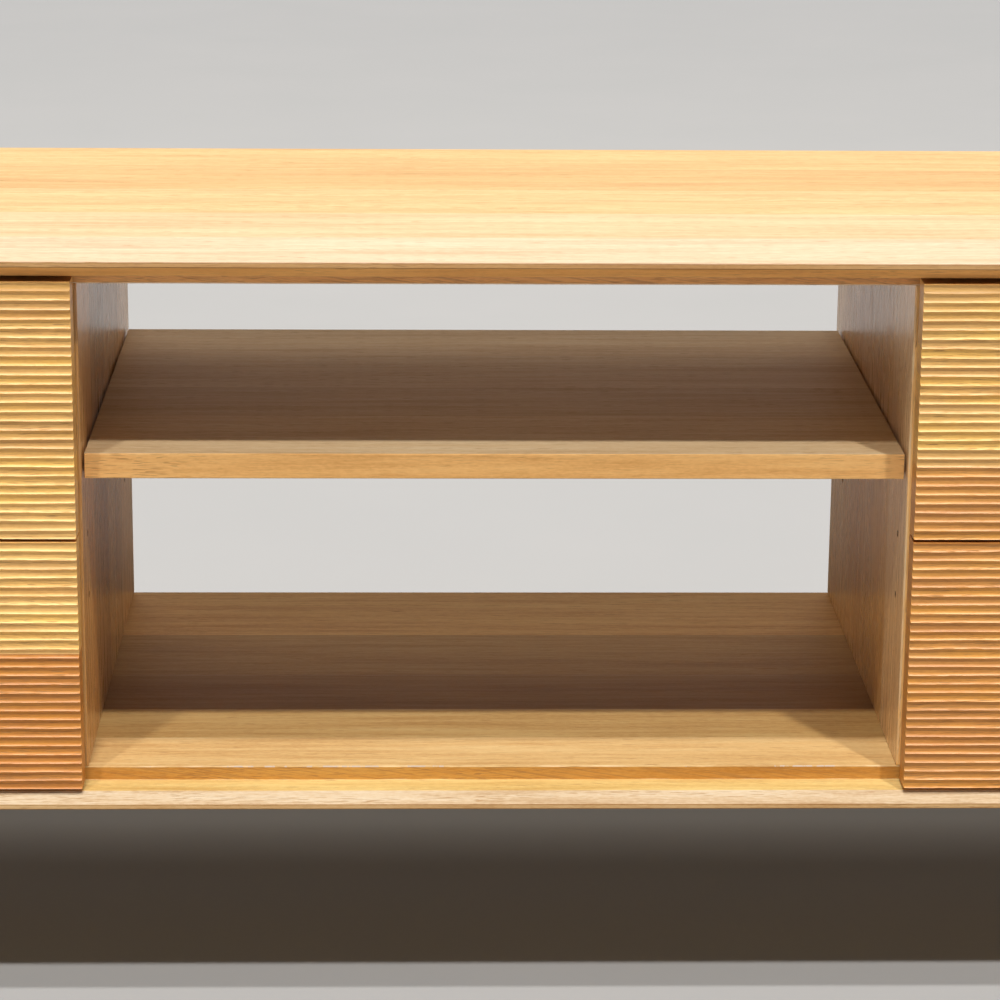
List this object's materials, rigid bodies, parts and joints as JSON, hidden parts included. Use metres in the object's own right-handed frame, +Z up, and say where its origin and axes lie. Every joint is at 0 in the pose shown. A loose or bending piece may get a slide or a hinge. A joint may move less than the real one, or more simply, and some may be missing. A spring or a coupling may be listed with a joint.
{
  "type": "media cabinet",
  "caption": "Low oak media cabinet with fluted push-open drawers at both sides and an open middle bay with an adjustable shelf, on tapered legs.",
  "frame": {"origin": "on the floor, under the middle of the case", "axes": "+X to the right as seen from the front, +Y from the front to the back, +Z up"},
  "size_m": [1.8, 0.45, 0.54],
  "materials": {
    "oak_panel": "light natural oak, matt lacquer, grain along the board",
    "oak_fluted_front": "light natural oak, fluted, matt lacquer",
    "oak_leg": "turned light oak, matt lacquer",
    "oak_back_panel": "oak-veneered board",
    "drawer_box_wood": "birch plywood, clear lacquer",
    "beech_joinery": "raw beech",
    "rail_steel": "zinc-plated sheet steel",
    "plate_steel": "black powder coat",
    "fixing_steel": "zinc-plated",
    "pin_steel": "nickel-plated",
    "latch_plastic": "grey moulded",
    "glide_plastic": "dark moulded"
  },
  "bodies": {
    "case": {"top_panel": "oak_panel", "bottom_panel": "oak_panel", "left_end_panel": "oak_panel", "right_end_panel": "oak_panel", "left_divider": "oak_panel", "right_divider": "oak_panel", "case_dowels_and_splines": "beech_joinery", "left_back_panel": "oak_back_panel", "right_back_panel": "oak_back_panel", "shelf_pins": "pin_steel", "cabinet_rails": "rail_steel", "push_latch_bodies": "latch_plastic", "front_left_leg": "oak_leg", "front_right_leg": "oak_leg", "rear_left_leg": "oak_leg", "rear_right_leg": "oak_leg", "leg_plates": "plate_steel", "leg_bolts_and_screws": "fixing_steel", "foot_glides": "glide_plastic"},
    "shelf": {"shelf": "oak_panel"},
    "upper_left_drawer": {"upper_left_drawer_front": "oak_fluted_front", "upper_left_drawer_box_front": "drawer_box_wood", "upper_left_drawer_box_back": "drawer_box_wood", "upper_left_drawer_left_side": "drawer_box_wood", "upper_left_drawer_right_side": "drawer_box_wood", "upper_left_drawer_bottom": "drawer_box_wood", "upper_left_drawer_front_screws": "fixing_steel", "upper_left_drawer_rails": "rail_steel"},
    "upper_left_middle_rails": {"upper_left_middle_rails": "rail_steel"},
    "upper_left_plunger": {"upper_left_latch_plunger": "latch_plastic"},
    "upper_right_drawer": {"upper_right_drawer_front": "oak_fluted_front", "upper_right_drawer_box_front": "drawer_box_wood", "upper_right_drawer_box_back": "drawer_box_wood", "upper_right_drawer_left_side": "drawer_box_wood", "upper_right_drawer_right_side": "drawer_box_wood", "upper_right_drawer_bottom": "drawer_box_wood", "upper_right_drawer_front_screws": "fixing_steel", "upper_right_drawer_rails": "rail_steel"},
    "upper_right_middle_rails": {"upper_right_middle_rails": "rail_steel"},
    "upper_right_plunger": {"upper_right_latch_plunger": "latch_plastic"},
    "lower_left_drawer": {"lower_left_drawer_front": "oak_fluted_front", "lower_left_drawer_box_front": "drawer_box_wood", "lower_left_drawer_box_back": "drawer_box_wood", "lower_left_drawer_left_side": "drawer_box_wood", "lower_left_drawer_right_side": "drawer_box_wood", "lower_left_drawer_bottom": "drawer_box_wood", "lower_left_drawer_front_screws": "fixing_steel", "lower_left_drawer_rails": "rail_steel"},
    "lower_left_middle_rails": {"lower_left_middle_rails": "rail_steel"},
    "lower_left_plunger": {"lower_left_latch_plunger": "latch_plastic"},
    "lower_right_drawer": {"lower_right_drawer_front": "oak_fluted_front", "lower_right_drawer_box_front": "drawer_box_wood", "lower_right_drawer_box_back": "drawer_box_wood", "lower_right_drawer_left_side": "drawer_box_wood", "lower_right_drawer_right_side": "drawer_box_wood", "lower_right_drawer_bottom": "drawer_box_wood", "lower_right_drawer_front_screws": "fixing_steel", "lower_right_drawer_rails": "rail_steel"},
    "lower_right_middle_rails": {"lower_right_middle_rails": "rail_steel"},
    "lower_right_plunger": {"lower_right_latch_plunger": "latch_plastic"}
  },
  "joints": [
    {"name": "upper_left_drawer_slide", "type": "slide", "parent": "case", "child": "upper_left_drawer", "axis": [0, -1, 0], "range_m": [0, 0.4]},
    {"name": "upper_left_middle_rail_slide", "type": "slide", "parent": "upper_left_drawer", "child": "upper_left_middle_rails", "axis": [0, -1, 0], "range_m": [-0.2, 0]},
    {"name": "upper_left_plunger_press", "type": "slide", "parent": "case", "child": "upper_left_plunger", "axis": [0, 1, 0], "range_m": [0, 0.003], "stiffness_N_per_m": 400},
    {"name": "upper_right_drawer_slide", "type": "slide", "parent": "case", "child": "upper_right_drawer", "axis": [0, -1, 0], "range_m": [0, 0.4]},
    {"name": "upper_right_middle_rail_slide", "type": "slide", "parent": "upper_right_drawer", "child": "upper_right_middle_rails", "axis": [0, -1, 0], "range_m": [-0.2, 0]},
    {"name": "upper_right_plunger_press", "type": "slide", "parent": "case", "child": "upper_right_plunger", "axis": [0, 1, 0], "range_m": [0, 0.003], "stiffness_N_per_m": 400},
    {"name": "lower_left_drawer_slide", "type": "slide", "parent": "case", "child": "lower_left_drawer", "axis": [0, -1, 0], "range_m": [0, 0.4]},
    {"name": "lower_left_middle_rail_slide", "type": "slide", "parent": "lower_left_drawer", "child": "lower_left_middle_rails", "axis": [0, -1, 0], "range_m": [-0.2, 0]},
    {"name": "lower_left_plunger_press", "type": "slide", "parent": "case", "child": "lower_left_plunger", "axis": [0, 1, 0], "range_m": [0, 0.003], "stiffness_N_per_m": 400},
    {"name": "lower_right_drawer_slide", "type": "slide", "parent": "case", "child": "lower_right_drawer", "axis": [0, -1, 0], "range_m": [0, 0.4]},
    {"name": "lower_right_middle_rail_slide", "type": "slide", "parent": "lower_right_drawer", "child": "lower_right_middle_rails", "axis": [0, -1, 0], "range_m": [-0.2, 0]},
    {"name": "lower_right_plunger_press", "type": "slide", "parent": "case", "child": "lower_right_plunger", "axis": [0, 1, 0], "range_m": [0, 0.003], "stiffness_N_per_m": 400},
    {"name": "shelf_draw_out", "type": "slide", "parent": "case", "child": "shelf", "axis": [0, -1, 0], "range_m": [0, 0.45]}
  ],
  "couplings": [
    {"joint": "upper_left_middle_rail_slide", "follows": "upper_left_drawer_slide", "ratio": -0.5},
    {"joint": "upper_right_middle_rail_slide", "follows": "upper_right_drawer_slide", "ratio": -0.5},
    {"joint": "lower_left_middle_rail_slide", "follows": "lower_left_drawer_slide", "ratio": -0.5},
    {"joint": "lower_right_middle_rail_slide", "follows": "lower_right_drawer_slide", "ratio": -0.5}
  ]
}
